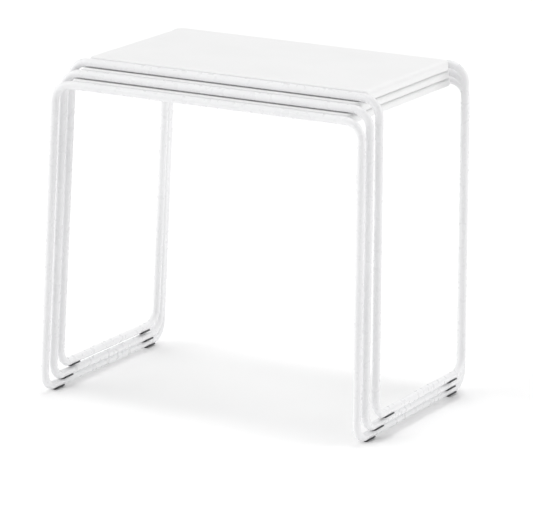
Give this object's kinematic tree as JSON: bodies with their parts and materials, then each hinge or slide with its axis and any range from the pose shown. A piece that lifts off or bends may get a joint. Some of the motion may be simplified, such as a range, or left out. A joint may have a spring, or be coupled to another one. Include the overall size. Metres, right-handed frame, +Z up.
{
  "type": "nesting tables",
  "caption": "Nest of low sled-base side tables in bent round rod with sheet-metal tops, each lifting straight out of the one below.",
  "frame": {"origin": "middle of the whole nest's footprint, on the floor", "axes": "+X to the right along the tables' length, +Y to the back, +Z up; the front rails face -Y"},
  "size_m": [0.5418, 0.374, 0.5086],
  "materials": {
    "frame_powder_coat": "satin white powder coat on steel rod",
    "top_powder_coat": "fine-textured satin white powder coat on sheet steel",
    "glide_plastic": "moulded dark grey"
  },
  "bodies": {
    "lower_table": {"lower_front_hoop": "frame_powder_coat", "lower_back_hoop": "frame_powder_coat", "lower_left_runner": "frame_powder_coat", "lower_right_runner": "frame_powder_coat", "lower_panel": "top_powder_coat", "lower_front_left_glide": "glide_plastic", "lower_front_right_glide": "glide_plastic", "lower_back_left_glide": "glide_plastic", "lower_back_right_glide": "glide_plastic"},
    "middle_table": {"middle_front_hoop": "frame_powder_coat", "middle_back_hoop": "frame_powder_coat", "middle_left_runner": "frame_powder_coat", "middle_right_runner": "frame_powder_coat", "middle_panel": "top_powder_coat", "middle_front_left_glide": "glide_plastic", "middle_front_right_glide": "glide_plastic", "middle_back_left_glide": "glide_plastic", "middle_back_right_glide": "glide_plastic"},
    "upper_table": {"upper_front_hoop": "frame_powder_coat", "upper_back_hoop": "frame_powder_coat", "upper_left_runner": "frame_powder_coat", "upper_right_runner": "frame_powder_coat", "upper_panel": "top_powder_coat", "upper_front_left_glide": "glide_plastic", "upper_front_right_glide": "glide_plastic", "upper_back_left_glide": "glide_plastic", "upper_back_right_glide": "glide_plastic"}
  },
  "joints": [
    {"name": "middle_table_lift", "type": "slide", "parent": "lower_table", "child": "middle_table", "axis": [0, 0, 1], "range_m": [0, 0.5]},
    {"name": "upper_table_lift", "type": "slide", "parent": "middle_table", "child": "upper_table", "axis": [0, 0, 1], "range_m": [0, 0.5]}
  ]
}
